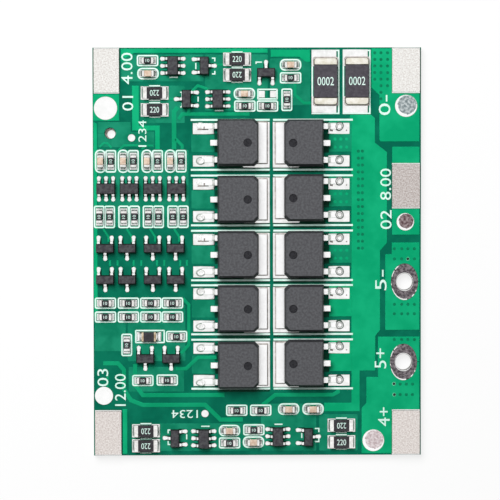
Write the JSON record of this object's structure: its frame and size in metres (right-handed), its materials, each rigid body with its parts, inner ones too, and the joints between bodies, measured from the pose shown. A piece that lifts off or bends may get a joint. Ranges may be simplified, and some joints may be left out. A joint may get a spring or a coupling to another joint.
{
  "type": "battery management board",
  "caption": "Small circuit board that guards a pack of battery cells: ranks of power transistors, sensing resistors, nickel lead plates and plated output holes.",
  "frame": {"origin": "middle of the board's underside", "axes": "+Z out of the side that carries the parts, +Y along the board's long side, away from the row of bottom parts; +X towards the edge with the output holes"},
  "size_m": [0.045, 0.056, 0.0036],
  "materials": {
    "green_mask": "satin",
    "green_mask_on_copper": "satin",
    "tinned_copper": "satin",
    "nickel": "satin",
    "moulded_epoxy": "matte",
    "tinned_leads": "satin",
    "tinned_ends": "satin",
    "resistor_glaze": "gloss",
    "capacitor_ceramic": "satin"
  },
  "bodies": {
    "root": {"balance_chip_1": "moulded_epoxy", "balance_chip_2": "moulded_epoxy", "balance_chip_3": "moulded_epoxy", "balance_chip_4": "moulded_epoxy", "bleed_resistors": "resistor_glaze", "bleed_resistors_ends": "tinned_ends", "cell_plate_bottom_left": "nickel", "cell_plate_bottom_right": "nickel", "cell_plate_lands": "tinned_copper", "cell_plate_right": "nickel", "cell_plate_top_left": "nickel", "cell_plate_top_right": "nickel", "chip_capacitors": "capacitor_ceramic", "chip_capacitors_ends": "tinned_ends", "chip_leads": "tinned_leads", "chip_resistors": "resistor_glaze", "chip_resistors_ends": "tinned_ends", "circuit_board": "green_mask", "indicator_chip": "resistor_glaze", "indicator_chip_ends": "tinned_ends", "masked_copper": "green_mask_on_copper", "output_hole_minus": "tinned_copper", "output_hole_plus": "tinned_copper", "power_case_left_1": "moulded_epoxy", "power_case_left_2": "moulded_epoxy", "power_case_left_3": "moulded_epoxy", "power_case_left_4": "moulded_epoxy", "power_case_left_5": "moulded_epoxy", "power_case_right_1": "moulded_epoxy", "power_case_right_2": "moulded_epoxy", "power_case_right_3": "moulded_epoxy", "power_case_right_4": "moulded_epoxy", "power_case_right_5": "moulded_epoxy", "power_lands": "tinned_copper", "power_metal_left_1": "tinned_leads", "power_metal_left_2": "tinned_leads", "power_metal_left_3": "tinned_leads", "power_metal_left_4": "tinned_leads", "power_metal_left_5": "tinned_leads", "power_metal_right_1": "tinned_leads", "power_metal_right_2": "tinned_leads", "power_metal_right_3": "tinned_leads", "power_metal_right_4": "tinned_leads", "power_metal_right_5": "tinned_leads", "protection_chip_bottom_left": "moulded_epoxy", "protection_chip_bottom_middle": "moulded_epoxy", "protection_chip_top_left": "moulded_epoxy", "protection_chip_top_middle": "moulded_epoxy", "round_test_lands": "tinned_copper", "sense_resistor_left": "resistor_glaze", "sense_resistor_left_ends": "tinned_ends", "sense_resistor_right": "resistor_glaze", "sense_resistor_right_ends": "tinned_ends", "small_part_lands": "tinned_copper", "small_transistor_leads": "tinned_leads", "small_transistors": "moulded_epoxy"}
  },
  "joints": []
}
